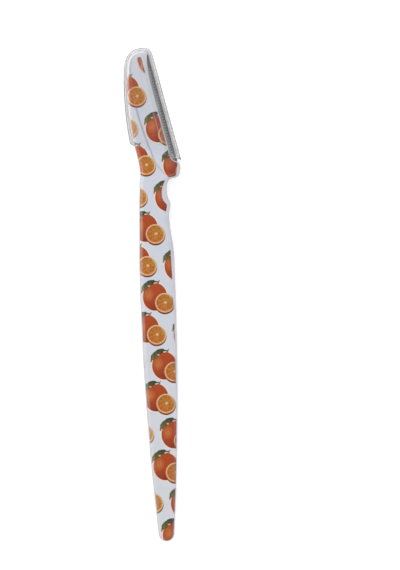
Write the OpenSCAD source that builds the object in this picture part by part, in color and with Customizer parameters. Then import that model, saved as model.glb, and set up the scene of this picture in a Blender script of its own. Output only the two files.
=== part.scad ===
// Eyebrow razor: a flat moulded handle that carries a steel blade along one
// side of its tilted head, a comb guard folded over the blade's edge, and a
// clear cap that slides off along the blade.
//
// The razor lies face up on a table, on the back of its cap: Y runs from the
// tail to the head, X towards the cutting edge, and Z up out of the face. The
// origin is under the middle of its box. All lengths are in millimetres.

/* [Grip] */
// Length from the round tail to the corner below the heel
handle_l = 110; // [90:1:130]
// Width of the grip at its widest
grip_w = 10.9; // [9:0.1:13]
// Thickness of the grip and of the head's spine
grip_t = 3.2; // [2.9:0.1:3.8]
// Width of the round tail
tail_w = 4.9; // [3.6:0.1:6]
// Thickness at the tail
tail_t = 2.4; // [2.1:0.1:3.2]
// Radius of the long edges of the grip
edge_r = 1.2; // [0.8:0.1:1.3]

/* [Neck] */
// Length of the neck, with its finger notch, up to the heel
neck_l = 24; // [18:1:32]
// Depth of the finger notch below the grip's half width
notch_d = 1.7; // [0.8:0.1:2.2]

/* [Head] */
// Tilt of the blade from the handle's length, in degrees
head_tilt = 13.2; // [8:0.2:18]
// Width of the head from its spine to its jaw
head_w = 10; // [9:0.1:12]
// Thickness of the sunk land beside the spine
land_t = 2.4; // [2.1:0.1:2.6]
// Thickness of the jaw that holds the blade
jaw_t = 1.3; // [1.1:0.05:1.6]
// Length of the jaw between the heel and the tip
jaw_l = 31.7; // [26:0.5:38]
// How far the heel stands out past the jaw
heel_w = 2.5; // [2.1:0.1:3]
// Height of the heel along the blade
heel_l = 6.5; // [5.5:0.1:8]
// How far the tip stands out past the jaw
tip_w = 1.6; // [1.2:0.1:1.7]
// Height of the tip past the jaw
tip_l = 2.2; // [1.8:0.1:3]

/* [Blade] */
// How far the guard stands out of the jaw
proud = 1.6; // [1.2:0.1:1.9]
// Thickness of the blade
blade_t = 0.25; // [0.15:0.01:0.3]
// Width of the blade that the head hides
blade_root = 4.2; // [3.6:0.1:4.8]
// Width of the ground bevel along the cutting edge
grind_w = 0.8; // [0.5:0.1:1]
// Radius of the moulded posts that lock the blade
post_r = 0.7; // [0.4:0.05:0.9]
// Number of moulded posts
post_count = 3; // [2:1:5]

/* [Guard] */
// Thickness of the guard's foil
guard_t = 0.1; // [0.08:0.01:0.12]
// Width of each leg of the guard that the jaw hides
guard_root = 1.5; // [1:0.1:2]
// Distance from one slit of the comb to the next
slit_pitch = 0.86; // [0.7:0.02:1.2]
// Width of one slit
slit_w = 0.34; // [0.2:0.02:0.45]
// Bar of steel left between the slits and the jaw
slit_root = 0.5; // [0.2:0.05:0.6]

/* [Cap] */
// Wall of the clear cap
cap_wall = 0.5; // [0.4:0.05:0.8]
// Room between the cap and the head's spine and faces
cap_gap = 0.25; // [0.2:0.05:0.4]
// Room between the cap and the guard's edge
cap_edge_gap = 0.75; // [0.4:0.05:1]
// Slant of the cap's mouth from square, in degrees
mouth_slant = 32; // [15:1:38]
// Radius of the cap's long edges
cap_edge_r = 1.7; // [1.2:0.1:2]

/* [Hidden] */

// Steps round a quarter of a rounded edge, along each bend of an outline,
// round the tail, along the grip, round a post and round the guard's fold. The
// tail starts a little off its tip, so that its first ring has a width.
edge_steps = 4;
bend_steps = 4;
tail_steps = 5;
grip_steps = 14;
post_steps = 48;
fold_steps = 32;
tail_first_share = 0.42;

// Seating clearances, the one overrun of every cut, and how far the rings
// stand over the flat faces that the handle and the cap are cut to
foil_gap = 0.01;
seat_gap = 0.02;
over = 1;
face_cut = 0.005;

half_w = grip_w / 2;
half_t = grip_t / 2;
full_h = half_t + face_cut;
land_h = land_t / 2;
jaw_h = jaw_t / 2;
tail_r = tail_w / 2;
neck_y = handle_l - neck_l;

// Edge radii, each a share of the thickness that it rounds
spine_r = min(edge_r, half_t);
tail_edge_share = 0.8;
neck_edge_share = 0.6;
heel_edge_share = 0.65;
tip_edge_share = 0.25;
jaw_edge_share = 0.3;
tail_edge_r = tail_t / 2 * tail_edge_share;
neck_edge_r = half_t * neck_edge_share;
heel_edge_r = land_h * heel_edge_share;
tip_edge_r = land_h * tip_edge_share;
jaw_edge_r = jaw_h * jaw_edge_share;

// The grip is widest, and has reached its full thickness, at these shares of
// the handle's length
widest_share = 0.68;
full_share = 0.4;

// Where the jaw starts: the blade's own axes have their origin there, with X
// out through the cutting edge and Y along it towards the tip
jaw_x = half_w;
jaw_y = handle_l + heel_l;

// Neck, from the grip to the corner below the heel: shares of its length, of
// the half width on the spine's side, of the notch on the finger's side, and
// of the way across the face to the line that becomes the head's step
neck_shares = [
    [0.00, 0.985, 0.00, 0.35], [0.17, 0.950, 0.12, 0.35], [0.33, 0.925, 0.47, 0.35],
    [0.48, 0.910, 0.68, 0.38], [0.60, 0.885, 0.60, 0.43], [0.69, 0.875, 0.20, 0.50],
    [0.76, 0.855, 0.82, 0.60], [0.85, 0.835, 0.94, 0.72], [0.94, 0.815, 0.85, 0.84],
    [1.00, 0.795, 0.42, 0.92]
];

// Head, one row for each bend from the heel to the tip: the spine as shares of
// the head's width and of the jaw's length, how far its thickness has dropped
// to the land's, where the two creases lie as shares across the face, and how
// much of the step is a shallow ramp above its crease
head_shares = [
    [-1.062, -0.105, 0.00, 0.63, 0.95, 0.30],
    [-1.030, -0.052, 0.00, 0.43, 0.95, 0.35],
    [-1.002, 0.003, 0.00, 0.45, 0.92, 0.20],
    [-0.987, 0.082, 0.00, 0.38, 0.85, 0.00],
    [-0.986, 0.240, 0.00, 0.31, 0.845, 0.00],
    [-0.944, 0.420, 0.00, 0.235, 0.83, 0.00],
    [-0.862, 0.605, 0.00, 0.14, 0.81, 0.00],
    [-0.740, 0.782, 0.10, 0.08, 0.78, 0.00],
    [-0.630, 0.902, 0.30, 0.04, 0.74, 0.00],
    [-0.530, 0.984, 0.50, 0.02, 0.70, 0.00],
    [-0.415, 1.031, 0.70, 0.02, 0.70, 0.00],
    [-0.250, 1.063, 0.90, 0.02, 0.70, 0.00],
    [-0.140, 1.066, 1.00, 0.02, 0.70, 0.00]
];

// Edge of the head in the same rows: three bends of the heel, as shares of its
// width and height, six along the jaw, as shares of the tip's width and of the
// jaw's length, and four of the tip. The last share of the heel's and the
// tip's bends is their reach. The jaw flares over the strip towards the tip.
heel_shares = [[0.46, -1.00, 1.00], [1.00, -0.33, 0.35], [0.00, -0.14, 0.32]];
jaw_shares = [[0, 0.08], [0, 0.25], [0, 0.44], [0, 0.63], [0, 0.80], [0.28, 0.92]];
tip_shares = [[0.70, 0.02, 0.30], [1.00, 0.20, 0.40], [0.55, 0.75, 0.60], [-0.60, 0.95, 0.60]];

// Width of the step from the spine down to the land, as a share of the face.
// The ramp starts this share of the way back from the step to the spine, and
// plain rings carry the second crease this share of the way on to the edge.
step_share = 0.03;
ramp_share = 0.4;
plain_share = 0.35;
second_share = 0.62;

// How deep the blade's ends sit in the heel and in the tip
heel_seat_share = 0.31;
tip_seat_share = 0.18;
heel_seat = heel_l * heel_seat_share;
tip_seat = tip_l * tip_seat_share;
blade_end = jaw_l + tip_seat;

// The guard's fold: half the room inside it, and its outer radius
fold_in = blade_t / 2 + foil_gap;
fold_out = fold_in + guard_t;
blade_tip = proud - guard_t - foil_gap;
post_share = 0.62;
post_x = -blade_root * post_share;
post_reach_share = 0.6;
post_h = land_h * post_reach_share;

slit_count = floor((jaw_l - slit_pitch) / slit_pitch);
slit_start = (jaw_l - (slit_count - 1) * slit_pitch) / 2;

// The cap's outline on the cutting side, before its gap and wall are added,
// and the corner of its mouth there
cap_grow = cap_gap + cap_wall;
cap_x = proud + cap_edge_gap - cap_gap;
cap_h = half_t + cap_grow;
cap_ref_r = cap_edge_r - cap_grow;
cap_side_shares = [-0.13, 0.10, 0.28, 0.46, 0.64, 0.80, 0.92];
cap_top_shares = [[0.00, 0.37], [0.60, 0.86], [2.00, 0.93]];
// How much further the cap stands off the spine in its first rows, as shares of
// the head's width, so that it draws off its mould
draft_shares = [0.037, 0.036, 0.018];
mouth_share = 0.25;
mouth_corner = [cap_x + cap_grow, -heel_l * mouth_share];
cut_size = handle_l;

function mix(a, b, t) = a * (1 - t) + b * t;
function ease(t) = let (u = max(0, min(1, t))) u * u * (3 - 2 * u);
function unit(v) = v / norm(v);
function plan(p) = [p[0], p[1]];
function tail_of(r) = [for (i = [2 : len(r) - 1]) r[i]];
function turn(p, a) = [p[0] * cos(a) - p[1] * sin(a), p[0] * sin(a) + p[1] * cos(a)];
function from_head(r) = concat(turn(plan(r), head_tilt) + [jaw_x, jaw_y], tail_of(r));

// A smooth run through rows of values. Each inner row is the control point of
// one curve, which starts and ends no further from that row than its reach.
function start_share(a, b, reach) = min(0.5, reach / norm(plan(b) - plan(a)));
function curve(a, b, c, t) = mix(mix(a, b, t), mix(b, c, t), t);
function run(rows, reach) = [
    rows[0],
    for (i = [1 : len(rows) - 2])
        let (
            a = mix(rows[i], rows[i - 1], start_share(rows[i], rows[i - 1], reach[i])),
            c = mix(rows[i], rows[i + 1], start_share(rows[i], rows[i + 1], reach[i]))
        )
        for (k = [0 : bend_steps - 1]) curve(a, rows[i], c, (k + 0.5) / bend_steps),
    rows[len(rows) - 1]
];

// Outward normal at one point of a run, which goes tail to head
function along(rows, i) =
    unit(plan(rows[min(i + 1, len(rows) - 1)]) - plan(rows[max(i - 1, 0)]));
function outward(rows, i, side) = let (d = along(rows, i)) side * [d[1], -d[0]];

// One side of a ring: a wall of half height h with both edges rounded to r,
// from its lower face to its upper one, moved out along its normal
function side_points(p, normal, h, r, grow) = [
    for (s = [-1, 1])
        for (k = [0 : edge_steps])
            let (a = 90 * (s < 0 ? 1 - k / edge_steps : k / edge_steps))
            concat(p + normal * (grow - r + r * cos(a)), [s * (h - r + r * sin(a))])
];

function level(p, z) = [p[0], p[1], z];

// A ring: up its left side, over the face, down its right side and back under.
// Rows hold x, y, half height and edge radius, and on the right also the two
// creases, the half height of the land between them and the ramp's depth.
function ring(left, right, nl, nr, grow_l, grow_r, grow_z) =
    let (
        up = side_points(plan(left), nl, left[2] + grow_z, left[3] + grow_l, grow_l),
        down = side_points(plan(right), nr, right[2] + grow_z, right[3] + grow_r, grow_r),
        n = len(up),
        a = up[n - 1],
        b = down[n - 1],
        land = right[6] + grow_z,
        face = [
            level(mix(a, b, right[4] * (1 - ramp_share)), a[2]),
            level(mix(a, b, right[4]), a[2] - right[7]),
            level(mix(a, b, right[4] + step_share), land),
            level(mix(a, b, right[5]), land)
        ]
    )
    concat(
        up, face,
        [for (k = [n - 1 : -1 : 0]) down[k]],
        [for (k = [len(face) - 1 : -1 : 0]) level(face[k], -face[k][2])]
    );

function rings(left, right, grow_l = 0, grow_r = 0, grow_z = 0) = [
    for (i = [0 : len(left) - 1])
        ring(left[i], right[i], outward(left, i, -1), outward(right, i, 1),
            grow_l, grow_r, grow_z)
];

// Triangles of the skin between rings of n points each
function skin_faces(count, n, first) = [
    for (i = [0 : count - 2])
        for (k = [0 : n - 1])
            let (
                a = first + i * n + k,
                b = first + i * n + (k + 1) % n
            )
            each [[a, b + n, b], [a, a + n, b + n]]
];

// Triangles that close a ring, level by level. The points along its two faces
// join the level next to them.
function fan(points) = [for (k = [1 : len(points) - 2]) [points[0], points[k], points[k + 1]]];
function end_faces(first, n) =
    let (
        m = 2 * (edge_steps + 1),
        extra = n / 2 - m,
        left = [for (k = [0 : m - 1]) first + k],
        right = [for (k = [0 : m - 1]) first + n - 1 - extra - k],
        above = [for (k = [extra - 1 : -1 : 0]) first + m + k],
        below = [for (k = [0 : extra - 1]) first + n - 1 - k]
    )
    concat(
        fan(concat([left[1], left[0]], below, [right[0], right[1]])),
        [for (k = [1 : m - 3]) each fan([left[k], right[k], right[k + 1], left[k + 1]])],
        fan(concat([left[m - 2], right[m - 2], right[m - 1]], above, [left[m - 1]]))
    );

function inside_out(faces) = [for (f = faces) [f[0], f[2], f[1]]];

module skin(list) {
    n = len(list[0]);
    count = len(list);
    polyhedron(
        points = [for (r = list) each r],
        faces = concat(
            skin_faces(count, n, 0),
            inside_out(end_faces(0, n)),
            end_faces((count - 1) * n, n)
        )
    );
}

// What lies between two flat faces, each half the thickness from the middle
module between_faces(half) {
    intersection() {
        children();
        cube([2 * cut_size, 4 * cut_size, 2 * half], center = true);
    }
}

// The handle's two outlines. The tail is a half round, and the grip swells
// along one flat curve to its widest place.
function half_width(y) =
    let (t = 1 - (y - tail_r) / (handle_l * widest_share - tail_r))
    half_w - (half_w - tail_r) * t * t;
function half_height(y) = mix(tail_t / 2, full_h, ease(y / (handle_l * full_share)));
function grip_edge(y) = mix(tail_edge_r, spine_r, ease(y / (handle_l * full_share)));

// Creases, land and ramp of a ring whose face is flat
function flat(share, h) = [share, mix(share, 1, second_share), h, 0];

function grip_row(side, x, y) = concat(
    [side * x, y, half_height(y), grip_edge(y)],
    side > 0 ? flat(plain_share, half_height(y)) : []
);
function grip_rows(side) = [
    for (k = [tail_first_share : tail_steps])
        let (a = 90 * k / tail_steps) grip_row(side, tail_r * sin(a), tail_r * (1 - cos(a))),
    for (k = [0 : grip_steps])
        let (y = mix(tail_r, neck_y, k / (grip_steps + 1)))
        grip_row(side, half_width(y), y)
];

neck_left = [for (r = neck_shares) [-half_w * r[1], neck_y + neck_l * r[0], full_h, spine_r]];
neck_right = [
    for (r = neck_shares)
        concat([half_w - notch_d * r[2], neck_y + neck_l * r[0], full_h,
            mix(spine_r, neck_edge_r, ease(r[0]))], flat(r[3], full_h))
];

head_left = [
    for (r = head_shares)
        from_head([head_w * r[0], jaw_l * r[1], mix(full_h, land_h, r[2]),
            mix(spine_r, tip_edge_r, r[2])])
];
head_edge = concat(
    [for (r = heel_shares) [heel_w * r[0], heel_l * r[1], land_h, heel_edge_r]],
    [for (r = jaw_shares) [tip_w * r[0], jaw_l * r[1], jaw_h, jaw_edge_r]],
    [for (r = tip_shares) [tip_w * r[0], jaw_l + tip_l * r[1], land_h, tip_edge_r]]
);
head_right = [
    for (i = [0 : len(head_edge) - 1])
        let (s = head_shares[i])
        from_head(concat(head_edge[i], [s[3], s[4], land_h, (half_t - land_h) * s[5]]))
];
head_reach = concat(
    [for (r = heel_shares) heel_l * r[2]],
    [for (b = jaw_shares) jaw_l],
    [for (r = tip_shares) tip_l * r[2]]
);

function smooth(rows) = [for (r = rows) handle_l];

handle_left = concat(grip_rows(-1), run(concat(neck_left, head_left),
    smooth(concat(neck_left, head_left))));
handle_right = concat(grip_rows(1), run(concat(neck_right, head_right),
    concat(smooth(neck_right), head_reach)));
handle_rings = rings(handle_left, handle_right);

// The cap follows the spine, a little wider at its mouth, and runs straight
// beside the guard
cap_first = len(heel_shares);
function draft(k) = k < len(draft_shares) ? draft_shares[k] : 0;
cap_left_rows = [
    for (i = [cap_first : len(head_shares) - 1])
        let (s = head_shares[i])
        from_head([head_w * (s[0] - draft(i - cap_first)), jaw_l * s[1], half_t, cap_ref_r])
];
cap_edge = concat(
    [for (b = cap_side_shares) [cap_x, jaw_l * b]],
    [for (s = cap_top_shares) [cap_x - tip_w * s[0], jaw_l + tip_l * s[1]]]
);
cap_right_rows = [
    for (p = cap_edge) from_head(concat(p, [half_t, cap_ref_r], flat(plain_share, half_t)))
];
cap_left = run(cap_left_rows, smooth(cap_left_rows));
cap_right = run(cap_right_rows, smooth(cap_right_rows));
cap_rings = rings(cap_left, cap_right, cap_grow, cap_grow, cap_grow + face_cut);
room_rings = rings(cap_left, cap_right, cap_gap, cap_gap, cap_gap + face_cut);

// Middle of the whole box, seen from above. The cap counts only where it is
// left above the slanted cut of its mouth.
function above_mouth(p) =
    turn(turn(plan(p) - [jaw_x, jaw_y], -head_tilt) - mouth_corner, mouth_slant)[1] > 0;
outline = concat(
    [for (r = handle_rings) for (p = r) plan(p)],
    [for (r = cap_rings) for (p = r) if (above_mouth(p)) plan(p)],
    [from_head(mouth_corner)]
);
function middle(values) = (min(values) + max(values)) / 2;
mid_x = middle([for (p = outline) p[0]]);
mid_y = middle([for (p = outline) p[1]]);

module lay_down() {
    translate([-mid_x, -mid_y, cap_h]) children();
}

module in_head() {
    translate([jaw_x, jaw_y, 0]) rotate(head_tilt) children();
}

// A flat shape in X and Z, drawn out along the blade
module along_blade(from, to) {
    translate([0, to, 0]) rotate([90, 0, 0]) linear_extrude(to - from) children();
}

module band(from, to, half) {
    translate([from, -half]) square([to - from, 2 * half]);
}

module posts(r, half) {
    for (i = [0 : post_count - 1])
        translate([post_x, jaw_l * (i + 0.5) / post_count, 0])
            cylinder(r = r, h = 2 * half, center = true, $fn = post_steps);
}

module slot() {
    along_blade(-heel_seat - seat_gap, blade_end + seat_gap) {
        band(-blade_root - seat_gap, proud, fold_in);
        band(-guard_root - seat_gap, proud + seat_gap, fold_out + foil_gap);
    }
}

module handle() {
    color([0.93, 0.92, 0.95]) lay_down() {
        difference() {
            between_faces(half_t) skin(handle_rings);
            in_head() slot();
        }
        in_head() posts(post_r, post_h);
    }
}

module blade() {
    color([0.72, 0.73, 0.75]) lay_down() in_head() difference() {
        along_blade(-heel_seat, blade_end)
            polygon([
                [-blade_root, -blade_t / 2], [blade_tip - grind_w, -blade_t / 2],
                [blade_tip, 0],
                [blade_tip - grind_w, blade_t / 2], [-blade_root, blade_t / 2]
            ]);
        posts(post_r + seat_gap, land_h);
    }
}

// The guard's section: two legs and a round fold
module fold(radius, root) {
    circle(r = radius, $fn = fold_steps);
    translate([-root, -radius]) square([root, 2 * radius]);
}

module guard() {
    leg = proud - fold_out + guard_root;
    color([0.62, 0.63, 0.65]) lay_down() in_head() difference() {
        along_blade(-heel_seat, blade_end)
            translate([proud - fold_out, 0]) difference() {
                fold(fold_out, leg);
                fold(fold_in, leg + over);
            }
        for (i = [0 : slit_count - 1])
            translate([slit_root, slit_start + i * slit_pitch - slit_w / 2, -over])
                cube([proud, slit_w, 2 * over]);
    }
}

module cap() {
    color([0.9, 0.93, 0.95, 0.4]) lay_down() difference() {
        between_faces(cap_h) skin(cap_rings);
        between_faces(half_t + cap_gap) skin(room_rings);
        in_head() translate(mouth_corner) rotate(-mouth_slant)
            translate([-cut_size, -cut_size, -cut_size / 2]) cube(cut_size * [2, 1, 1]);
    }
}

handle();
blade();
guard();
cap();
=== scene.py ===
"""Eyebrow razor: a printed plastic handle, a steel blade under a comb guard, and a clear cap.

Lengths are in millimetres until a mesh or a node tree turns them into metres.
X points towards the cutting edge, Y towards the head and Z out of the printed face.
"""

import math

import bmesh
import bpy
from mathutils import Matrix, Vector
from mathutils.kdtree import KDTree


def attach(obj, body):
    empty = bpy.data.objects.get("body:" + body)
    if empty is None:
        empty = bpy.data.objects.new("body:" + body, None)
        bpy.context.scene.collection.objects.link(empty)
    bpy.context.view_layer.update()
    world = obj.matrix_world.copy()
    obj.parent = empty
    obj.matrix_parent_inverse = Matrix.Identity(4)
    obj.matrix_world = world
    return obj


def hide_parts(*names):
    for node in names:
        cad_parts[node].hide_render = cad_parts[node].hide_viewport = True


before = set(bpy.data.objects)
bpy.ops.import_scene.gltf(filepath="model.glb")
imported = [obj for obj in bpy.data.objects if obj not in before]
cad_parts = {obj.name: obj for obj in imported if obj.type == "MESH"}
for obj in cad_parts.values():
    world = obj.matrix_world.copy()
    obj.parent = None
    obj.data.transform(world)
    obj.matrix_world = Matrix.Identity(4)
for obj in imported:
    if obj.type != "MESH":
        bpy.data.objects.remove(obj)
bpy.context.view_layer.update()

MM = 0.001

# Where the handle's own axes lie: its tail tip is their origin, and its blade
# starts at the corner of the jaw, tilted from the handle's length.
TAIL_TIP = Vector((-0.2315, -75.0531, 0.0))
MID_HEIGHT = 2.35
HEAD_TILT = math.radians(13.2)
JAW_CORNER = Vector((5.45, 116.5, MID_HEIGHT)) + TAIL_TIP

# The photograph's view of it: straight down, turned a little, and one picture
# of 400 by 570 points that covers this much of the table.
LEAN = math.radians(2.07)
VIEW_CENTRE = Vector((12.65, 2.38, MID_HEIGHT))
VIEW_HEIGHT = 173.05
CAMERA_HEIGHT = 1400.0
SENSOR = 36.0

# The sides of the handle stand upright between these distances from its mid-plane,
# which leave out the blade's slot and the step in the face. A point is on an
# upright side where its normal's height is less than UPRIGHT.
SLOT_HALF = 0.3
SIDE_HALF = 1.15
UPRIGHT = 0.5

# The film's least distance from the outline, what the back keeps in place of a
# distance inside the film's edge, and where nothing is printed on the film: near
# the tip, and on the upper part of the ramp beside the blade
LEAST_MARGIN = 0.2
OFF_FILM = -1.0
PRINT_TOP = 72.1
RAMP_WIDTH = 0.75
RAMP_BARE_FROM = 15.2

# How far the film stays from the outline, at points up the handle from its tail
FILM_MARGINS = {
    "spine": ((0, 0.3), (60, 0.28), (100, 0.2), (119, 0.12), (125, 0.3), (141, 0.3), (144, 1.6), (150, 1.6)),
    "edge": ((0, 0.25), (20, 0.12), (30, 0.2), (55, 0.5), (75, 0.72), (85, 0.9), (97, 0.95), (101.5, 0.95),
             (103.9, 1.7), (106.5, 1.5), (109, 0.9), (113, 1.0), (116, 0.3), (150, 0.3)),
}

# Over the mid-plane, the step in the face is the steep wall over STEP_FOOT, and the
# land's edge beside the ramp crosses LAND_TOP. That edge is marked only from
# BRINK_FROM up the blade.
STEP_FOOT = 1.15
LAND_TOP = 1.19
BRINK_FROM = 1.0

# Where the cap's reflection is painted over the spine as a pale haze that pales the print a little
HAZE_PLACE = (-5.9, 50.6)
HAZE_RADII = (3.4, 5.5)

# Where the film changes, in the part's own Y: its ground goes from the tail's
# tone to the head's, the print is drawn aside in X, and then drawn thin over the tip
GROUND_CHANGES = (-60.0, 10.0)
DRAWN_ASIDE = (62.0, 69.0)
DRAWN_BY = -0.4
DRAWN_THIN = (66.0, 68.5)

# Where the ramp beside the blade falls into shade, along the blade's own X and Y
RAMP_SHADE_ACROSS = (-2.2, -0.8)
RAMP_SHADE_ALONG = (-8.0, -6.0)

# Half the width over which the film's edge runs out, and how rough the plastic
# and the film are
FILM_EDGE = 0.06
PLASTIC_ROUGHNESS = 0.36
FILM_ROUGHNESS = 0.24

# The leaf beside the heel, which is painted darker as shade on the heel's slope
SHADED_LEAF_PLACE = (4.3, 42.7)
SHADED_LEAF_RADII = (2.3, 1.6)

# The slant of the cap's mouth from square, and how round its rims are
MOUTH_SLANT = math.radians(32)
RIM_ROUND = 0.14

# The clear plastic: what a wall lets through where it is seen square on, and edge on
# near a rim, which is painted shade for the light the rims bend away, and along the back's
# rim, which is scuffed and painted in shade; and what it lets through of the light that falls on the head.
# Its thickness dims what it lets through by CLEAR_BODY and CLEAR_DENSITY.
CLEAR_SQUARE_ON = (0.99, 0.99, 0.99, 1)
CLEAR_EDGE_ON = (0.58, 0.58, 0.585, 1)
CLEAR_BACK_SHADE = (0.6, 0.6, 0.605, 1)
CLEAR_LIGHTING = (0.97, 0.97, 0.97, 1)
CLEAR_BODY = (0.8, 0.8, 0.8, 1)
CLEAR_DENSITY = 450.0

# How strongly both plastics bend light
PLASTIC_IOR = 1.5

# The longest edge of a triangle in the handle and in the cap, so that what is
# kept at the corners follows the shape
HANDLE_TRIANGLE = 0.9
CAP_TRIANGLE = 1.2

# Points closer than this are joined, in the CAD meshes and in the guard, and an
# edge shorter than NO_EDGE is none
JOIN_WITHIN = 0.0005
GUARD_JOIN_WITHIN = 0.00005
NO_EDGE = 0.0002

# The floor lies this far under the cap's back. It reaches this far, in metres,
# and glows a little, as a white table under a tent does.
FLOOR_GAP = 0.03
FLOOR_HALF = 3.0
FLOOR_TONE = (0.93, 0.93, 0.93, 1)
FLOOR_GLOW = 0.32

# Two lamps that face the razor's middle: place and side in metres, and power
LAMPS = {
    "key_light": ((-0.6, 0.5, 0.9), 1.1, 8.0),
    "fill_light": ((0.8, -0.2, 0.8), 0.8, 2.5),
}

# The tent: how strong it is low down and overhead, between these heights of the
# direction, and what is left of it round the camera's own place
TENT_HEIGHTS = (0.05, 0.4)
TENT_STRENGTHS = (0.4, 0.74)
CAMERA_HOLE = (0.92, 0.97)
CAMERA_HOLE_LEFT = 0.3

# How much brighter a white face that looks up comes out than the picture's white
STUDIO_LEVEL = 1.08

# The comb guard
GUARD_SIZES = {
    "Reach": 1.6,
    "Root": 1.5,
    "Bar": 0.5,
    "Foil": 0.1,
    "Fold Radius": 0.235,
    "Pitch": 0.86,
    "Slit Width": 0.34,
    "Slits": 35,
    "First Slit": 1.23,
    "Start": -2.015,
    "End": 32.096,
}

# The print: its own axes are the photograph's, with X to the right and Y up.
# One fruit stands at the origin, the second one below it to the left, and the
# pair repeats along the row and up the handle.
PRINT_ORIGIN = Vector((-2.26, 39.403, 0.0))
NEXT_ACROSS = Vector((11.92, -1.88, 0.0))
NEXT_UP = Vector((-2.848, 20.872, 0.0))
SECOND_FRUIT = Vector((-2.46, -9.69, 0.0))

# Colours as they look in the studio's light, each from 0 to 255
PAINTS = {
    # The print's leaf
    "leaf": (108, 106, 52), "leaf_far_end": (54, 58, 46), "leaf_outside": (58, 64, 48),
    "leaf_near_end": (128, 112, 80), "leaf_fleck": (150, 146, 92), "leaf_dark": (40, 48, 36),
    # The whole orange
    "peel": (168, 66, 24), "peel_low": (134, 38, 14), "peel_glow": (192, 119, 62),
    "peel_edge": (126, 46, 22), "peel_shade": (134, 84, 52), "peel_fleck": (200, 110, 56),
    "peel_dark": (134, 46, 18),
    # The cut half
    "rind": (228, 176, 128), "rind_deep": (210, 148, 98), "rind_pale": (196, 182, 152),
    "flesh": (202, 124, 42), "flesh_deep": (148, 88, 30), "flesh_low": (190, 86, 34),
    "flesh_right": (194, 150, 88), "flesh_dark": (142, 94, 36), "flesh_light": (206, 146, 66),
    "flesh_shade": (126, 92, 46), "membrane": (222, 160, 88), "flesh_middle": (214, 150, 82),
    "core": (222, 178, 124), "flesh_pale": (208, 176, 122),
    # Round and between them
    "halo": (234, 212, 198), "gap": (244, 216, 176), "stalk": (46, 46, 38), "under_peel": (112, 56, 36),
    # The film's ground, the plastic, the film where it is drawn or creased, and the painted haze, sheen,
    # shade and highlights on it
    "ground_tail": (213, 213, 219), "ground_head": (205, 209, 219), "ground_cloud": (199, 205, 215),
    "plastic": (202, 201, 208), "plastic_cloud": (193, 193, 199), "reflected_haze": (232, 200, 160),
    "tip_fold": (98, 80, 62), "tip_thin": (226, 172, 140), "spine_sheen": (214, 204, 188),
    "painted_shade": (104, 58, 70), "shaded_leaf": (50, 58, 48), "crease": (146, 156, 174),
    "crease_highlight_on_ink": (226, 164, 124), "brink_highlight": (232, 230, 234), "brink_highlight_on_ink": (236, 190, 172),
    # Steel
    "steel_grain": (70, 71, 72), "guard_inner": (180, 181, 182), "guard_fold_shade": (120, 121, 122),
    "blade_inner": (118, 119, 122), "blade_outer": (98, 99, 101),
}


def from_head(point):
    """A point of the razor along the blade's own axes."""
    return Matrix.Rotation(-HEAD_TILT, 3, "Z") @ (point - JAW_CORNER)


def paint(name):
    """What a surface has to be to look like one of PAINTS in the studio's light."""
    def linear(c):
        c /= 255
        return (c / 12.92 if c <= 0.04045 else ((c + 0.055) / 1.055) ** 2.4) / STUDIO_LEVEL
    return *(linear(c) for c in PAINTS[name]), 1.0


# Node trees

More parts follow.
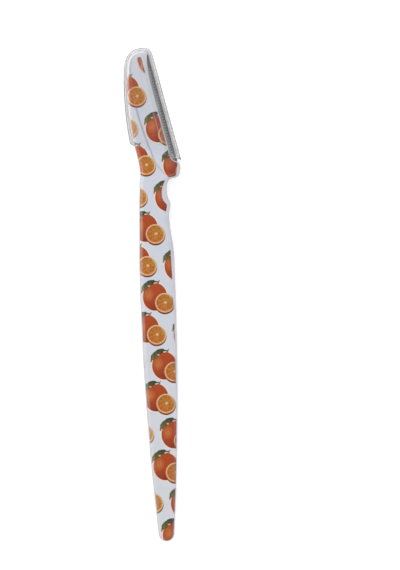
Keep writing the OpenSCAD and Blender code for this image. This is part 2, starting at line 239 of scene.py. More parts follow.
class Wiring:
    """Adds nodes to one tree and joins them up."""

    def __init__(self, tree):
        self.tree = tree

    def add(self, kind, **settings):
        node = self.tree.nodes.new(kind)
        for name, value in settings.items():
            setattr(node, name, value)
        return node

    def into(self, kind, values, **settings):
        """Adds a node, feeds its inputs by name, and gives its first output."""
        node = self.add(kind, **settings)
        self.feed_named(node, values)
        return node.outputs[0]

    def feed(self, socket, value):
        if isinstance(value, bpy.types.NodeSocket):
            self.tree.links.new(value, socket)
        elif value is not None:
            socket.default_value = value

    def feed_named(self, node, values):
        for name, value in values.items():
            self.feed(node.inputs[name], value)

    def calc(self, operation, a, b=None, clamp=False):
        node = self.add("ShaderNodeMath", operation=operation, use_clamp=clamp)
        for socket, value in zip(node.inputs, (a, b)):
            self.feed(socket, value)
        return node.outputs[0]

    def plus(self, a, b, clamp=False):
        return self.calc("ADD", a, b, clamp)

    def minus(self, a, b):
        return self.calc("SUBTRACT", a, b)

    def times(self, a, b):
        return self.calc("MULTIPLY", a, b)

    def vector(self, operation, a, b=None, scale=None):
        node = self.add("ShaderNodeVectorMath", operation=operation)
        self.feed(node.inputs[0], a)
        self.feed(node.inputs[1], b)
        if scale is not None:
            self.feed(node.inputs["Scale"], scale)
        return node.outputs["Value" if operation in ("DOT_PRODUCT", "LENGTH", "DISTANCE") else "Vector"]

    def towards(self, where, direction):
        """How far a place lies in a direction, which has an X and a Y."""
        return self.vector("DOT_PRODUCT", where, (*direction, 0))

    def split(self, vector):
        """A vector's X, Y and Z."""
        node = self.add("ShaderNodeSeparateXYZ")
        self.feed(node.inputs[0], vector)
        return node.outputs

    def kept(self, name):
        """A value that the mesh keeps at its points."""
        return self.add("ShaderNodeAttribute", attribute_name=name).outputs["Fac"]

    def fade(self, value, start, end, low=0.0, high=1.0):
        """Goes smoothly from low, where value is start, to high, where it is end."""
        values = {"Value": value, "From Min": start, "From Max": end, "To Min": low, "To Max": high}
        return self.into("ShaderNodeMapRange", values, interpolation_type="SMOOTHSTEP", clamp=True)

    def mix(self, amount, a, b):
        """Goes from colour a to colour b by amount."""

        # Its sockets for numbers, vectors and colours share their names, but not their identifiers
        node = self.add("ShaderNodeMix", data_type="RGBA")
        for name, v in (("Factor_Float", amount), ("A_Color", a), ("B_Color", b)):
            self.feed(next(s for s in node.inputs if s.identifier == name), v)
        return next(s for s in node.outputs if s.identifier == "Result_Color")

    def noise(self, where, scale, detail=2.0, roughness=0.5):
        node = self.add("ShaderNodeTexNoise", noise_dimensions="3D")
        self.feed_named(node, {"Vector": where, "Scale": scale, "Detail": detail, "Roughness": roughness})
        return node.outputs["Fac"]

    def group(self, tree, **inputs):
        node = self.add("ShaderNodeGroup", node_tree=tree)
        self.feed_named(node, inputs)
        return node.outputs


def shader_group(name, inputs, outputs):
    """An empty shader group with named sockets, its wiring, and its two ends."""
    tree = bpy.data.node_groups.new(name, "ShaderNodeTree")
    for label, kind, default in inputs:
        socket = tree.interface.new_socket(label, in_out="INPUT", socket_type="NodeSocket" + kind)
        if default is not None:
            socket.default_value = default
    for label, kind in outputs:
        tree.interface.new_socket(label, in_out="OUTPUT", socket_type="NodeSocket" + kind)
    entry = tree.nodes.new("NodeGroupInput")
    leave = tree.nodes.new("NodeGroupOutput")
    return tree, Wiring(tree), entry.outputs, leave.inputs


def ellipse(w, where, centre, radii):
    """How far out a place is from centre: 1 on the ellipse with those radii."""
    shifted = w.vector("SUBTRACT", where, (*centre, 0))
    return w.vector("LENGTH", w.vector("DIVIDE", shifted, (*radii, 1)))


# The fruit print. Its parts give their colours, and how much of each place they cover.

def printed_leaf(w, flat, grain, fine):
    """A crescent over the orange's shoulder, dark round its outside and where it meets the stalk."""
    heel, point = Vector((-7.3, 2.6)), Vector((-2.15, 6.35))
    outer_bulge, inner_bulge, swell = 2.05, 0.35, 0.45
    chord = point - heel
    outward = Vector((-chord.y, chord.x)).normalized()
    wavy = w.times(w.noise(flat, 1.1, 2.0, 0.7), 0.9)
    rims = []
    for bulge in (outer_bulge, inner_bulge):
        radius = (chord.length_squared / 4 + bulge ** 2) / (2 * bulge)
        centre = (heel + point) / 2 + outward * (bulge - radius)
        reach = w.vector("DISTANCE", flat, (*centre, 0))
        rims.append(w.minus(w.plus(reach, wavy), radius + swell))
    outside, inside = rims
    leaf = w.times(w.fade(outside, 0.08, -0.1), w.fade(inside, -0.12, 0.06))
    from_heel = w.vector("SUBTRACT", flat, (*heel, 0))
    along = w.towards(from_heel, chord / chord.length_squared)
    color = w.mix(w.fade(along, 0.25, 0.8), paint("leaf"), paint("leaf_far_end"))
    color = w.mix(w.fade(outside, -0.75, -0.1, 0.0, 0.85), color, paint("leaf_outside"))
    color = w.mix(w.fade(along, 0.25, 0.05, 0.0, 0.7), color, paint("leaf_near_end"))
    color = w.mix(w.fade(fine, 0.54, 0.68, 0.0, 0.6), color, paint("leaf_fleck"))
    color = w.mix(w.fade(grain, 0.45, 0.58, 0.0, 0.75), color, paint("leaf_dark"))
    return color, leaf


def printed_stalk(w, flat):
    """Two prongs at the top of the orange."""
    prongs = []
    for centre, radii, turned in (((-2.35, 6.15), (0.62, 0.2), -0.6), ((-1.95, 6.45), (0.42, 0.17), 0.75)):
        mapping = w.add("ShaderNodeMapping", vector_type="POINT")
        w.feed(mapping.inputs["Vector"], w.vector("SUBTRACT", flat, (*centre, 0)))
        mapping.inputs["Rotation"].default_value = (0, 0, -turned)
        prongs.append(w.fade(ellipse(w, mapping.outputs["Vector"], (0, 0), radii), 1.2, 0.7))
    return w.calc("MAXIMUM", *prongs)


def printed_gaps(w, flat):
    """The light between the leaf and the orange."""
    low = w.fade(ellipse(w, flat, (-4.95, 4.95), (0.42, 0.2)), 1.3, 0.4, 0.0, 0.75)
    high = w.fade(ellipse(w, flat, (-3.15, 5.85), (0.4, 0.2)), 1.3, 0.4, 0.0, 0.85)
    return w.calc("MAXIMUM", low, high)


def printed_orange(w, flat, grain, fine):
    """The whole orange, lit from the left and dark towards the lower right, and the pale ring round it."""
    centre, radii = (-3.11, 1.7), (3.7, 4.22)
    glow_centre, glow_radii = (-5.0, 2.35), (1.7, 2.2)
    out = ellipse(w, flat, centre, radii)
    body = w.fade(out, 1.015, 0.985)
    halo = w.fade(out, 1.13, 1.03, 0.0, 0.95)
    off_centre = w.vector("SUBTRACT", flat, (*centre, 0))
    slope = w.towards(off_centre, (0.62 / 3.9, -0.78 / 3.9))
    color = w.mix(w.fade(slope, -0.35, 0.95), paint("peel"), paint("peel_low"))
    glow = ellipse(w, flat, glow_centre, glow_radii)
    color = w.mix(w.fade(glow, 1.15, 0.1, 0.0, 0.75), color, paint("peel_glow"))
    color = w.mix(w.fade(out, 0.86, 1.0, 0.0, 0.45), color, paint("peel_edge"))
    shaded = w.fade(w.towards(off_centre, (0.75, 0.66)), 2.9, 4.0, 0.0, 0.5)
    color = w.mix(shaded, color, paint("peel_shade"))
    color = w.mix(w.fade(fine, 0.45, 0.75, 0.0, 0.3), color, paint("peel_fleck"))
    color = w.mix(w.fade(grain, 0.5, 0.75, 0.0, 0.3), color, paint("peel_dark"))
    return color, body, halo


def printed_flesh(w, flat, grain, fine, reach, rim, up_right):
    """The cut half's flesh: its segments, the membranes between them, and the core."""
    segments = 9
    axes = w.split(flat)
    angle = w.calc("ARCTAN2", axes["Y"], axes["X"])
    lobes = w.calc("ABSOLUTE", w.calc("SINE", w.times(angle, segments / 2)))
    membrane = w.fade(w.times(lobes, reach), 0.42, 0.05, 0.0, 0.4)
    membrane = w.times(membrane, w.fade(reach, 0.5, 1.2))
    low_left = w.fade(w.towards(flat, (-0.8, -0.6)), 0.2, 2.0, 0.0, 0.55)
    towards_right = w.fade(w.towards(flat, (0.95, 0.3)), 1.2, 2.7, 0.0, 0.7)
    upper = w.fade(w.towards(flat, (-0.6, 0.8)), 0.2, 1.8, 0.0, 0.7)
    shaded = w.times(w.fade(rim, 2.0, 2.45), upper)
    color = w.mix(w.fade(fine, 0.42, 0.56), paint("flesh"), paint("flesh_deep"))
    color = w.mix(low_left, color, paint("flesh_low"))
    color = w.mix(towards_right, color, paint("flesh_right"))
    color = w.mix(w.fade(grain, 0.5, 0.62, 0.0, 0.6), color, paint("flesh_dark"))
    color = w.mix(w.fade(grain, 0.46, 0.36, 0.0, 0.6), color, paint("flesh_light"))
    color = w.mix(shaded, color, paint("flesh_shade"))
    color = w.mix(membrane, color, paint("membrane"))
    color = w.mix(w.fade(reach, 0.85, 0.1, 0.0, 0.5), color, paint("flesh_middle"))
    core = ellipse(w, flat, (0.05, -0.02), (0.55, 0.48))
    color = w.mix(w.fade(core, 1.15, 0.4), color, paint("core"))
    return w.mix(w.times(up_right, 0.35), color, paint("flesh_pale"))


def one_fruit():
    """A whole orange with its leaf, and a cut half in front of it, whose middle is the origin."""
    tree, w, entry, leave = shader_group(
        "one_fruit", [("Place", "Vector", None)], [("Color", "Color"), ("Ink", "Float")])
    flat = w.vector("MULTIPLY", entry["Place"], (1, 1, 0))
    grain = w.noise(flat, 1.6, 3.0)
    fine = w.noise(flat, 5.5, 2.0)
    leaf_color, leaf = printed_leaf(w, flat, grain, fine)
    stalk = printed_stalk(w, flat)
    gaps = printed_gaps(w, flat)
    body_color, body, halo = printed_orange(w, flat, grain, fine)

    # The cut half: the peel's dark underside, the pale rind and the flesh
    under_middle, under_radii = (-0.1, -0.54), (3.04, 3.1)
    cut_middle, rind_edge, flesh_edge = (-0.12, -0.1, 0), (3.06, 2.9), (2.62, 2.42)
    reach = w.vector("LENGTH", flat)
    rim = w.vector("DISTANCE", flat, cut_middle)
    under = w.fade(ellipse(w, flat, under_middle, under_radii), 1.03, 0.97)
    cut = w.fade(rim, *rind_edge)
    flesh = w.fade(rim, *flesh_edge)
    up_right = w.fade(w.towards(flat, (0.86, 0.5)), 1.3, 2.8)
    rind = w.mix(w.fade(grain, 0.35, 0.7), paint("rind"), paint("rind_deep"))
    rind = w.mix(w.times(up_right, 0.8), rind, paint("rind_pale"))
    flesh_color = printed_flesh(w, flat, grain, fine, reach, rim, up_right)

    color = w.mix(body, paint("halo"), body_color)
    color = w.mix(leaf, color, leaf_color)
    color = w.mix(gaps, color, paint("gap"))
    color = w.mix(stalk, color, paint("stalk"))
    color = w.mix(under, color, paint("under_peel"))
    color = w.mix(cut, color, rind)
    color = w.mix(flesh, color, flesh_color)

    # The ink is thin at the cut half's pale side
    thin = w.times(up_right, w.fade(rim, 2.4, 2.9, 0.0, 0.45))
    ink = leaf
    for part in (halo, gaps, stalk, body, under, w.times(cut, w.minus(1.0, thin))):
        ink = w.calc("MAXIMUM", ink, part)
    w.feed(leave["Color"], color)
    w.feed(leave["Ink"], ink)
    return tree


def fruit_print():
    """The repeat of the print over the whole film."""
    tree, w, entry, leave = shader_group(
        "fruit_print", [("Place", "Vector", None)], [("Color", "Color"), ("Ink", "Float")])
    area = NEXT_ACROSS.x * NEXT_UP.y - NEXT_ACROSS.y * NEXT_UP.x
    count_across = (NEXT_UP.y / area, -NEXT_UP.x / area)
    count_up = (-NEXT_ACROSS.y / area, NEXT_ACROSS.x / area)
    middle = Vector((-1.8, 1.5, 0))
    fruit = one_fruit()
    drawn = []
    for start in (Vector((0, 0, 0)), SECOND_FRUIT):
        local = w.vector("SUBTRACT", entry["Place"], tuple(start))
        centred = w.vector("SUBTRACT", local, tuple(middle))
        for step, count in ((NEXT_ACROSS, count_across), (NEXT_UP, count_up)):
            whole = w.calc("ROUND", w.towards(centred, count))
            local = w.vector("SUBTRACT", local, w.vector("SCALE", tuple(step), scale=whole))
        drawn.append(w.group(fruit, Place=local))
    first, second = drawn
    w.feed(leave["Color"], w.mix(second["Ink"], first["Color"], second["Color"]))
    w.feed(leave["Ink"], w.calc("MAXIMUM", first["Ink"], second["Ink"]))
    return tree


# Effects that more than one material uses

def handling_wear():
    """Fine scratches and smears: a roughness to add, and a height for a bump."""
    tree, w, entry, leave = shader_group(
        "handling_wear",
        [("Place", "Vector", None), ("Smear Size", "Float", 8.0), ("Amount", "Float", 0.1)],
        [("Roughness", "Float"), ("Height", "Float")],
    )
    place = entry["Place"]
    smear = w.noise(place, w.calc("DIVIDE", 1.0, entry["Smear Size"]), 4.0, 0.6)
    hair = w.add("ShaderNodeTexWave", wave_type="BANDS", bands_direction="DIAGONAL")
    w.feed_named(hair, {
        "Vector": place, "Scale": 0.35, "Distortion": 14.0, "Detail": 3.0, "Detail Scale": 1.4})
    scratch = w.fade(hair.outputs["Fac"], 0.965, 1.0)
    pores = w.noise(place, 9.0, 2.0)
    rough = w.plus(w.minus(smear, 0.5), w.times(scratch, 0.6))
    w.feed(leave["Roughness"], w.times(rough, entry["Amount"]))
    w.feed(leave["Height"], w.minus(w.times(pores, 0.5), w.times(scratch, 0.15)))
    return tree


def drawn_grain():
    """The grain of rolled strip, long in X of its place."""
    tree, w, entry, leave = shader_group(
        "drawn_grain",
        [("Place", "Vector", None), ("Fineness", "Float", 20.0)],
        [("Grain", "Float")],
    )
    stretched = w.vector("MULTIPLY", entry["Place"], (0.04, 1.0, 1.0))
    w.feed(leave["Grain"], w.noise(stretched, entry["Fineness"], 4.0, 0.65))
    return tree


WEAR = handling_wear()
GRAIN = drawn_grain()
PRINT = fruit_print()


# Materials

def new_material(name):
    """A new material, its wiring and its Principled node."""
    material = bpy.data.materials.new(name)
    material.use_nodes = True
    w = Wiring(material.node_tree)
    surface = material.node_tree.nodes["Principled BSDF"]
    return material, w, surface


def place_mm(w, origin=(0, 0, 0), turn=0.0):
    """The place on the piece in millimetres, from origin and turned about Z."""
    where = w.add("ShaderNodeTexCoord").outputs["Object"]
    scaled = w.vector("SCALE", where, scale=1 / MM)
    mapping = w.add("ShaderNodeMapping", vector_type="POINT")
    shifted = w.vector("SUBTRACT", scaled, tuple(origin))
    w.feed(mapping.inputs["Vector"], shifted)
    mapping.inputs["Rotation"].default_value = (0, 0, turn)
    return mapping.outputs["Vector"]


def place_on_head(w, turn=0.0):
    """The place along the blade's own axes, from the corner of the jaw."""
    return place_mm(w, JAW_CORNER, turn - HEAD_TILT)


def bump(w, surface, height, distance, strength):
    normal = w.into("ShaderNodeBump", {"Height": height, "Distance": distance * MM, "Strength": strength})
    w.feed(surface.inputs["Normal"], normal)


def printed_film(w, inside, own, head):
    """The face's colour: the ground, the print over it, how the film drew the print over the tip, and
    painted haze, sheen, shade and highlights over both.
    """
    place = place_mm(w, PRINT_ORIGIN, LEAN)
    flat = w.vector("MULTIPLY", place_mm(w), (1, 1, 0))

    # Nothing is printed near the tip, nor on the ramp beside the blade's upper part
    ramp = w.calc("MINIMUM", w.plus(head["X"], RAMP_WIDTH), w.minus(head["Y"], RAMP_BARE_FROM))
    bare = w.calc("MAXIMUM", ramp, w.minus(own["Y"], PRINT_TOP))
    aside = w.into("ShaderNodeCombineXYZ", {"X": w.fade(own["Y"], *DRAWN_ASIDE, 0.0, DRAWN_BY)})
    drawn = w.group(PRINT, Place=w.vector("ADD", place, aside))
    ink = w.times(drawn["Ink"], w.fade(bare, 0.1, -0.1))
    # Painted reflection: the cap's haze over the spine pales the print a little
    haze = w.fade(ellipse(w, flat, HAZE_PLACE, HAZE_RADII), 1.0, 0.5)
    ink = w.times(ink, w.minus(1.0, w.times(haze, 0.05)))
    fruit = w.mix(w.times(haze, 0.1), drawn["Color"], paint("reflected_haze"))
    cloud = w.noise(place, 0.22, 3.0)
    ground = w.mix(w.fade(own["Y"], *GROUND_CHANGES), paint("ground_tail"), paint("ground_head"))
    ground = w.mix(w.fade(cloud, 0.35, 0.65, 0.0, 0.5), ground, paint("ground_cloud"))
    color = w.mix(ink, ground, fruit)

    # Drawn thin over the tip, in streaks along the blade
    streaks = w.noise(w.vector("MULTIPLY", place_on_head(w), (2.2, 0.3, 0.0)), 1.0, 2.0)
    at_tip = w.times(ink, w.fade(own["Y"], *DRAWN_THIN))
    color = w.mix(w.times(at_tip, w.fade(streaks, 0.5, 0.42, 0.0, 0.6)), color, paint("tip_fold"))
    color = w.mix(w.times(at_tip, w.fade(streaks, 0.46, 0.56, 0.12, 0.6)), color, paint("tip_thin"))

    # Painted sheen over the spine's round, and painted shade at the film's edge over the other side and down
    # the ramp
    pale = w.times(w.fade(inside, 1.3, -0.1, 0.0, 0.18), w.fade(own["X"], 0.5, -1.5))
    color = w.mix(pale, color, paint("spine_sheen"))
    painted_shade = w.times(w.fade(inside, 1.2, 0.0, 0.0, 0.45), w.fade(own["X"], -0.5, 1.5))
    on_ramp = w.fade(head["X"], *RAMP_SHADE_ACROSS, 0.0, 0.38)
    on_ramp = w.times(on_ramp, w.fade(head["Y"], *RAMP_SHADE_ALONG))
    mostly_ink = w.plus(w.times(ink, 0.92), 0.08)
    color = w.mix(w.times(w.calc("MAXIMUM", painted_shade, on_ramp), mostly_ink), color, paint("painted_shade"))
    # Painted shade darkens the leaf on the heel's slope
    shaded_leaf = w.fade(ellipse(w, flat, SHADED_LEAF_PLACE, SHADED_LEAF_RADII), 1.0, 0.8, 0.0, 0.75)
    shaded_leaf = w.times(shaded_leaf, w.fade(w.noise(flat, 2.6, 1.0), 0.62, 0.5, 0.35, 1.0))
    color = w.mix(w.times(ink, shaded_leaf), color, paint("shaded_leaf"))

    # Painted shade on the step's wall, which is a painted highlight where it crosses ink, and a painted
    # highlight along the ramp's edge
    crease = w.mix(ink, paint("crease"), paint("crease_highlight_on_ink"))
    color = w.mix(w.fade(w.kept("step"), 0.62, 1.0, 0.0, 0.4), color, crease)
    brink_highlight = w.mix(ink, paint("brink_highlight"), paint("brink_highlight_on_ink"))
    return w.mix(w.fade(w.kept("brink"), 0.5, 1.0, 0.0, 0.36), color, brink_highlight)


def printed_plastic():
    """Pale moulded plastic under a glossy printed film."""
    material, w, surface = new_material("printed_plastic")
    inside = w.kept("film")
    film = w.fade(inside, -FILM_EDGE, FILM_EDGE)
    printed = printed_film(w, inside, w.split(place_mm(w)), w.split(place_on_head(w)))
    place = place_mm(w, PRINT_ORIGIN, LEAN)
    wear = w.group(WEAR, Place=place, **{"Smear Size": 11.0, "Amount": 0.16})
    plastic = w.mix(w.fade(w.noise(place, 0.22, 3.0), 0.4, 0.7), paint("plastic"), paint("plastic_cloud"))
    smooth = w.fade(inside, -FILM_EDGE, FILM_EDGE, PLASTIC_ROUGHNESS, FILM_ROUGHNESS)
    w.feed_named(surface, {
        "Base Color": w.mix(film, plastic, printed),
        "Roughness": w.plus(smooth, wear["Roughness"], clamp=True),
        "IOR": PLASTIC_IOR,
        "Coat Weight": 0.25,
        "Coat Roughness": 0.12,
    })
    bump(w, surface, w.plus(w.times(wear["Height"], 0.12), film), distance=0.03, strength=0.6)
    return material


def steel(name, inner, outer, fineness, roughness):
    """Rolled strip, whose tone goes from inner beside the jaw to outer at the cutting edge. On the guard the
    bar beside the jaw is polished lighter, and the darker tone at the fold is painted shade for the dark the
    fold reflects.
    """
    material, w, surface = new_material(name)
    place = place_on_head(w, -math.pi / 2)
    grain = w.group(GRAIN, Place=place, Fineness=fineness)["Grain"]
    wear = w.group(WEAR, Place=place, **{"Smear Size": 5.0, "Amount": 0.2})
    tone = w.mix(w.fade(w.split(place)["Y"], -0.4, -1.5), paint(inner), paint(outer))
    worn = w.plus(wear["Roughness"], w.times(grain, 0.15))
    w.feed_named(surface, {
        "Base Color": w.mix(w.fade(grain, 0.3, 0.7, 0.0, 0.3), tone, paint("steel_grain")),
        "Roughness": w.plus(worn, roughness, clamp=True),
        "Metallic": 1.0,
        "Anisotropic": 0.4,
    })
    bump(w, surface, grain, distance=0.004, strength=0.5)
    return material


def clear_plastic():
    """Clear walls with painted shade edge on along their rims, and a scuffed back painted grey along its rim
    as shade.
    """
    material, w, surface = new_material("clear_plastic")
    place = place_on_head(w)
    wear = w.group(WEAR, Place=place, **{"Smear Size": 9.0, "Amount": 0.06})
    edge_on = w.add("ShaderNodeLayerWeight").outputs["Facing"]
    rim = w.kept("rim")

    # Light goes through flat walls and is bent away by the rounded rims
    path = w.add("ShaderNodeLightPath").outputs
    passed = w.times(path["Is Shadow Ray"], w.fade(edge_on, 0.3, 0.9, 0.99, 0.72))

    # The back is scuffed rougher along its rim, where the cap slides on tables, and painted grey there as
    # shade for the walls seen from above
    scuff_and_shade = w.times(w.fade(w.split(place_mm(w))["Z"], 1.6, 0.4), w.fade(rim, 1.4, 0.6, 0.05, 1.0))
    scuff_and_shade = w.times(scuff_and_shade, w.fade(w.noise(place, 0.8, 5.0, 0.7), 0.3, 0.7, 0.75, 1.0))

    # Painted shade: walls are darker where they are seen edge on near a rim, and less so over the tip
    tinted = w.times(w.fade(edge_on, 0.03, 0.35), w.fade(rim, 1.7, 1.0, 0.15, 1.0))
    tinted = w.times(tinted, w.fade(w.split(place)["Y"], 31.5, 34.5, 1.0, 0.65))
    tint = w.mix(scuff_and_shade, w.mix(tinted, CLEAR_SQUARE_ON, CLEAR_EDGE_ON), CLEAR_BACK_SHADE)

    # The tint is for what is seen through a wall. The light on the head isn't dimmed by it
    lighting = w.fade(path["Diffuse Depth"], 0.0, 1.0)
    rough = w.plus(w.plus(wear["Roughness"], 0.035), w.times(scuff_and_shade, 0.3), clamp=True)
    w.feed_named(surface, {
        "Base Color": w.mix(lighting, tint, CLEAR_LIGHTING),
        "Roughness": rough,
        "Alpha": w.minus(1.0, passed),
        "Transmission Weight": 1.0,
        "IOR": PLASTIC_IOR,
    })
    absorb = w.into("ShaderNodeVolumeAbsorption", {"Color": CLEAR_BODY, "Density": CLEAR_DENSITY})
    w.feed(material.node_tree.nodes["Material Output"].inputs["Volume"], absorb)
    bump(w, surface, wear["Height"], distance=0.004, strength=0.4)
    return material


# Pieces

def merged_copy(node, name):
    """A copy of a CAD node with its loose triangles joined."""
    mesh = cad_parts[node].data.copy()
    mesh.name = name
    mesh.materials.clear()
    work = bmesh.new()
    work.from_mesh(mesh)
    bmesh.ops.remove_doubles(work, verts=work.verts, dist=JOIN_WITHIN * MM)
    bmesh.ops.dissolve_degenerate(work, edges=work.edges, dist=NO_EDGE * MM)
    work.to_mesh(mesh)
    work.free()
    piece = bpy.data.objects.new(name, mesh)
    bpy.context.scene.collection.objects.link(piece)
    return piece


def smooth_but_for(mesh, sharp_angle):
    mesh.shade_smooth()
    mesh.set_sharp_from_angle(angle=math.radians(sharp_angle))


def split_long_edges(mesh, longest):
    """Cuts a triangle mesh finer, so that values kept at its points follow it closely."""
    work = bmesh.new()
    work.from_mesh(mesh)
    bmesh.ops.triangulate(work, faces=[f for f in work.faces if len(f.verts) > 3])
    while True:
        long_edges = [e for e in work.edges if e.calc_length() > longest * MM]
        if not long_edges:
            break

        # One edge of a triangle at a time, so that no sliver is left
        apart, touched = [], set()
        for edge in sorted(long_edges, key=lambda e: -e.calc_length()):
            if touched.isdisjoint(edge.link_faces):
                touched.update(edge.link_faces)
                apart.append(edge)
        bmesh.ops.subdivide_edges(work, edges=apart, cuts=1, use_single_edge=True)
    work.to_mesh(mesh)
    work.free()


def film_margin(side, along):
    """How far the film stays from the outline at one side, by how far up the handle it is."""
    steps = FILM_MARGINS[side]
    for (low, at_low), (high, at_high) in zip(steps, steps[1:]):
        if along <= high:
            t = max(0.0, (along - low) / (high - low))
            return at_low + (at_high - at_low) * t
    return steps[-1][1]


def mark_creases(mesh, reaches):
    """Marks the wall of the face's step, and the edge along which the ramp starts."""
    step = mesh.attributes.new("step", "FLOAT", "POINT")
    brink = mesh.attributes.new("brink", "FLOAT", "POINT")

    # By the height of a face's normal, and by how far the face is from the outline
    steepest, steep, flat = 0.3, 0.8, 0.985
    off_outline = 0.35
    for face in mesh.polygons:
        corners = [mesh.vertices[i].co / MM for i in face.vertices]
        low = min(p.z for p in corners) - MID_HEIGHT
        high = max(p.z for p in corners) - MID_HEIGHT
        inner = min(reaches[i] for i in face.vertices) > off_outline
        if inner and steepest < face.normal.z < steep and low > STEP_FOOT:
            for i in face.vertices:
                step.data[i].value = 1.0
        if steep <= face.normal.z < flat and low < LAND_TOP < high:
            for i, p in zip(face.vertices, corners):
                if p.z - MID_HEIGHT > LAND_TOP and from_head(p).y > BRINK_FROM:
                    brink.data[i].value = 1.0


def lay_film(mesh):
    """Keeps how far inside the film's edge each point is. Gives how far each is from the outline."""

    # The outline, seen from above: the upright part of the sides, but for the blade's slot
    sides = []
    for vertex in mesh.vertices:
        p = vertex.co / MM
        if abs(vertex.normal.z) < UPRIGHT and SLOT_HALF < abs(p.z - MID_HEIGHT) < SIDE_HALF:
            sides.append((p, vertex.normal.x))
    rows = {}
    for p, _ in sides:
        low, high = rows.get(round(p.y), (p.x, p.x))
        rows[round(p.y)] = (min(low, p.x), max(high, p.x))
    outline = KDTree(len(sides))
    margins = []
    for i, (p, sideways) in enumerate(sides):
        low, high = rows[round(p.y)]
        margin = film_margin("edge" if p.x > (low + high) / 2 else "spine", p.y - TAIL_TIP.y)

        # Only the least margin is left where the outline turns to face the tail or the tip
        share = min(1.0, abs(sideways) * 1.1)
        margins.append(LEAST_MARGIN + (margin - LEAST_MARGIN) * share)
        outline.insert((p.x, p.y, 0), i)
    outline.balance()

    film = mesh.attributes.new("film", "FLOAT", "POINT")
    reaches = []
    for vertex, value in zip(mesh.vertices, film.data):
        p = vertex.co / MM
        _, i, reach = outline.find((p.x, p.y, 0))
        value.value = reach - margins[i] if p.z > MID_HEIGHT else OFF_FILM
        reaches.append(reach)
    return reaches


def printed_handle():
    piece = merged_copy("handle", "printed_handle")
    mesh = piece.data
    split_long_edges(mesh, HANDLE_TRIANGLE)
    smooth_but_for(mesh, sharp_angle=30)
    mark_creases(mesh, lay_film(mesh))
    mesh.materials.append(printed_plastic())
    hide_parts("handle")
    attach(piece, "razor")


def round_mouth(mesh):
    """Rounds the cap's mouth inside and out."""
    outwards = Matrix.Rotation(HEAD_TILT - MOUTH_SLANT, 3, "Z") @ Vector((0, -1, 0))
    same_way = 0.999
    work = bmesh.new()
    work.from_mesh(mesh)

    def mouth_faces():
        return {f for f in work.faces if f.normal.dot(outwards) > same_way}

    mouth = mouth_faces()
    inner = [e for e in work.edges if len(e.link_faces) == 2 and all(f in mouth for f in e.link_faces)]
    bmesh.ops.dissolve_edges(work, edges=inner, use_verts=False, use_face_split=False)
    mouth = mouth_faces()
    rims = [e for e in work.edges if sum(f in mouth for f in e.link_faces) == 1]
    bmesh.ops.bevel(work, geom=rims, offset=RIM_ROUND * MM, segments=3, profile=0.5,
                    affect="EDGES", clamp_overlap=False)
    bmesh.ops.triangulate(work, faces=[f for f in work.faces if len(f.verts) > 4])
    work.to_mesh(mesh)
    work.free()


def clear_cap():
    piece = merged_copy("cap", "clear_cap")
    mesh = piece.data
    round_mouth(mesh)
    split_long_edges(mesh, CAP_TRIANGLE)
    smooth_but_for(mesh, sharp_angle=40)

    # How far each point is from the walls, seen from above
    walls = [v.index for v in mesh.vertices if abs(v.normal.z) < UPRIGHT]
    plan = KDTree(len(walls))
    for i in walls:
        plan.insert((*mesh.vertices[i].co.xy, 0), i)
    plan.balance()
    rim = mesh.attributes.new("rim", "FLOAT", "POINT")
    for vertex, value in zip(mesh.vertices, rim.data):
        value.value = plan.find((*vertex.co.xy, 0))[2] / MM
    mesh.materials.append(clear_plastic())
    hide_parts("cap")
    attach(piece, "cap")


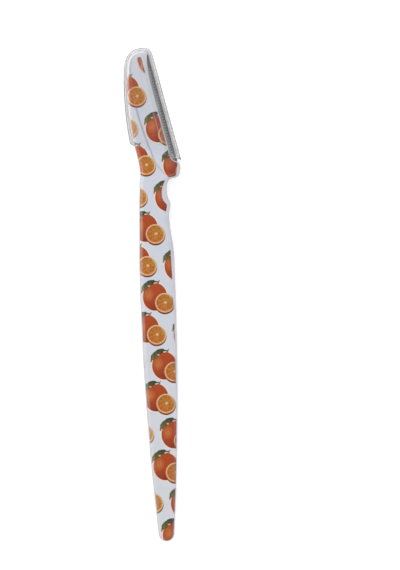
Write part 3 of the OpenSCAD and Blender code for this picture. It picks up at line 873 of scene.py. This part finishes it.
def comb_guard_tree(material):
    """A folded foil with a comb of teeth, along Y. Its sizes are inputs."""
    tree = bpy.data.node_groups.new("comb_guard", "GeometryNodeTree")
    w = Wiring(tree)
    for label in GUARD_SIZES:
        kind = "NodeSocketInt" if label == "Slits" else "NodeSocketFloat"
        tree.interface.new_socket(label, in_out="INPUT", socket_type=kind)
    tree.interface.new_socket("Geometry", in_out="OUTPUT", socket_type="NodeSocketGeometry")
    size = tree.nodes.new("NodeGroupInput").outputs
    leave = tree.nodes.new("NodeGroupOutput").inputs

    def point(x, y, z):
        return w.into("ShaderNodeCombineXYZ", {"X": x, "Y": y, "Z": z})

    def half(length):
        return w.calc("DIVIDE", length, 2.0)

    def moved(geometry, offset):
        return w.into("GeometryNodeTransform", {"Geometry": geometry, "Translation": offset})

    # A tooth is a hair less than the whole fold and foil, so that no two faces fall
    # together. The last share is how round its corners are.
    fold_share, foil_share, corner_share = 0.999, 0.97, 0.3
    fold_steps, corner_steps = 10, 2
    half_foil = half(size["Foil"])
    middle = w.minus(size["Fold Radius"], half_foil)
    front = w.minus(size["Reach"], half_foil)
    back = w.minus(size["Bar"], half_foil)

    # One tooth follows this path: out over the blade, round the edge and back
    index = w.add("GeometryNodeInputIndex").outputs[0]
    ends = w.calc("GREATER_THAN", w.calc("ABSOLUTE", w.minus(index, 1.5)), 1.0)
    upper = w.calc("GREATER_THAN", index, 1.5)
    x = w.plus(front, w.times(ends, w.minus(back, front)))
    z = w.times(middle, w.minus(w.times(upper, 2.0), 1.0))
    corners = w.into("GeometryNodeMeshLine", {"Count": 4})
    placed = w.into("GeometryNodeSetPosition", {"Geometry": corners, "Position": point(x, 0.0, z)})
    fold = {
        "Curve": w.into("GeometryNodeMeshToCurve", {"Mesh": placed}),
        "Count": fold_steps,
        "Radius": w.times(middle, fold_share),
    }
    path = w.into("GeometryNodeFilletCurve", fold, mode="POLY")

    def tooth(width):
        section = {"Width": width, "Height": w.times(size["Foil"], foil_share)}
        rounding = {
            "Curve": w.into("GeometryNodeCurvePrimitiveQuadrilateral", section),
            "Count": corner_steps,
            "Radius": w.times(size["Foil"], corner_share),
        }
        profile = w.into("GeometryNodeFilletCurve", rounding, mode="POLY")
        sweep = {"Curve": path, "Profile Curve": profile, "Fill Caps": True}
        return w.into("GeometryNodeCurveToMesh", sweep)

    # The teeth between the slits
    tooth_count = w.minus(size["Slits"], 1.0)
    row = w.into("GeometryNodeMeshLine", {
        "Count": tooth_count,
        "Start Location": point(0.0, w.plus(size["First Slit"], half(size["Pitch"])), 0.0),
        "Offset": point(0.0, size["Pitch"], 0.0),
    })
    teeth = w.into("GeometryNodeInstanceOnPoints", {
        "Points": row, "Instance": tooth(w.minus(size["Pitch"], size["Slit Width"]))})
    pieces = [teeth]

    # Plain ends, and the bar that each leg keeps between the slits and the jaw
    slit_half = half(size["Slit Width"])
    last_slit = w.plus(size["First Slit"], w.times(tooth_count, size["Pitch"]))
    tail_end = (size["Start"], w.minus(size["First Slit"], slit_half))
    tip_end = (w.plus(last_slit, slit_half), size["End"])
    for low, high in (tail_end, tip_end):
        pieces.append(moved(tooth(w.minus(high, low)), point(0.0, half(w.plus(low, high)), 0.0)))
    deep = w.plus(size["Bar"], size["Root"])
    length = w.minus(size["End"], size["Start"])
    along_x = half(w.minus(size["Bar"], size["Root"]))
    along_y = half(w.plus(size["Start"], size["End"]))
    for side in (-1.0, 1.0):
        leg = w.into("GeometryNodeMeshCube", {"Size": point(deep, length, size["Foil"])})
        pieces.append(moved(leg, point(along_x, along_y, w.times(middle, side))))
    joined = w.add("GeometryNodeJoinGeometry")
    for geometry in pieces:
        w.feed(joined.inputs[0], geometry)
    real = w.into("GeometryNodeRealizeInstances", {"Geometry": joined.outputs[0]})
    named = w.into("GeometryNodeSetMaterial", {"Geometry": real, "Material": material})
    w.feed(leave["Geometry"], named)
    return tree


def comb_guard():
    """The guard, made in millimetres by its node tree and laid along the blade."""
    carrier = bpy.data.objects.new("comb_guard_carrier", bpy.data.meshes.new("comb_guard_carrier"))
    bpy.context.scene.collection.objects.link(carrier)
    material = steel("guard_steel", "guard_inner", "guard_fold_shade", fineness=18.0, roughness=0.34)
    modifier = carrier.modifiers.new("comb", "NODES")
    modifier.node_group = comb_guard_tree(material)
    for socket in modifier.node_group.interface.items_tree:
        if socket.in_out == "INPUT":
            modifier[socket.identifier] = GUARD_SIZES[socket.name]
    ready = carrier.evaluated_get(bpy.context.evaluated_depsgraph_get())
    mesh = bpy.data.meshes.new_from_object(ready)
    mesh.name = "comb_guard"
    bpy.data.objects.remove(carrier)
    work = bmesh.new()
    work.from_mesh(mesh)
    bmesh.ops.remove_doubles(work, verts=work.verts, dist=GUARD_JOIN_WITHIN)
    bmesh.ops.recalc_face_normals(work, faces=work.faces)
    work.to_mesh(mesh)
    work.free()
    to_metres = Matrix.Diagonal((MM, MM, MM, 1))
    mesh.transform(Matrix.Translation(JAW_CORNER * MM) @ Matrix.Rotation(HEAD_TILT, 4, "Z") @ to_metres)
    smooth_but_for(mesh, sharp_angle=35)
    piece = bpy.data.objects.new("comb_guard", mesh)
    bpy.context.scene.collection.objects.link(piece)
    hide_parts("guard")
    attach(piece, "razor")


def blade():
    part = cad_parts["blade"]
    part.data.materials.clear()
    material = steel("blade_steel", "blade_inner", "blade_outer", fineness=14.0, roughness=0.3)
    part.data.materials.append(material)


# The studio

def floor():
    mesh = bpy.data.meshes.new("floor")
    signs = ((-1, -1), (1, -1), (1, 1), (-1, 1))
    corners = [(x * FLOOR_HALF, y * FLOOR_HALF, -FLOOR_GAP * MM) for x, y in signs]
    mesh.from_pydata(corners, [], [(0, 1, 2, 3)])
    piece = bpy.data.objects.new("floor", mesh)
    bpy.context.scene.collection.objects.link(piece)
    material, w, surface = new_material("pale_floor")
    w.feed_named(surface, {
        "Base Color": FLOOR_TONE,
        "Roughness": 0.9,
        "Specular IOR Level": 0.1,
        "Emission Color": (1, 1, 1, 1),
        "Emission Strength": FLOOR_GLOW,
    })
    mesh.materials.append(material)


def soft_light(name, where, side, power):
    """A square lamp that faces the razor's middle."""
    lamp = bpy.data.lights.new(name, "AREA")
    lamp.shape = "RECTANGLE"
    lamp.size = lamp.size_y = side
    lamp.energy = power
    piece = bpy.data.objects.new(name, lamp)
    piece.location = where
    piece.rotation_mode = "QUATERNION"
    piece.rotation_quaternion = (-Vector(where)).to_track_quat("-Z", "Y")
    bpy.context.scene.collection.objects.link(piece)


def studio():
    """A tent of soft light, dimmer at the table's level and round the camera's own place, and the lamps."""
    world = bpy.data.worlds.new("studio")
    world.use_nodes = True
    bpy.context.scene.world = world
    w = Wiring(world.node_tree)
    up = w.split(w.add("ShaderNodeTexCoord").outputs["Generated"])["Z"]
    tent = w.fade(up, *TENT_HEIGHTS, *TENT_STRENGTHS)
    w.feed_named(world.node_tree.nodes["Background"], {
        "Color": (1, 1, 1, 1),
        "Strength": w.times(tent, w.fade(up, *CAMERA_HOLE, 1.0, CAMERA_HOLE_LEFT)),
    })
    for name, (where, side, power) in LAMPS.items():
        soft_light(name, where, side, power)
    bpy.context.scene.view_settings.view_transform = "Standard"


def camera():
    data = bpy.data.cameras.new("camera")
    data.sensor_fit = "VERTICAL"
    data.sensor_height = data.sensor_width = SENSOR
    data.lens = SENSOR * CAMERA_HEIGHT / VIEW_HEIGHT
    data.clip_start, data.clip_end = 0.05, 20
    piece = bpy.data.objects.new("camera", data)
    piece.location = (VIEW_CENTRE + Vector((0, 0, CAMERA_HEIGHT))) * MM
    piece.rotation_euler = (0, 0, -LEAN)
    bpy.context.scene.collection.objects.link(piece)
    bpy.context.scene.camera = piece


camera()
studio()
floor()
printed_handle()
blade()
comb_guard()
clear_cap()
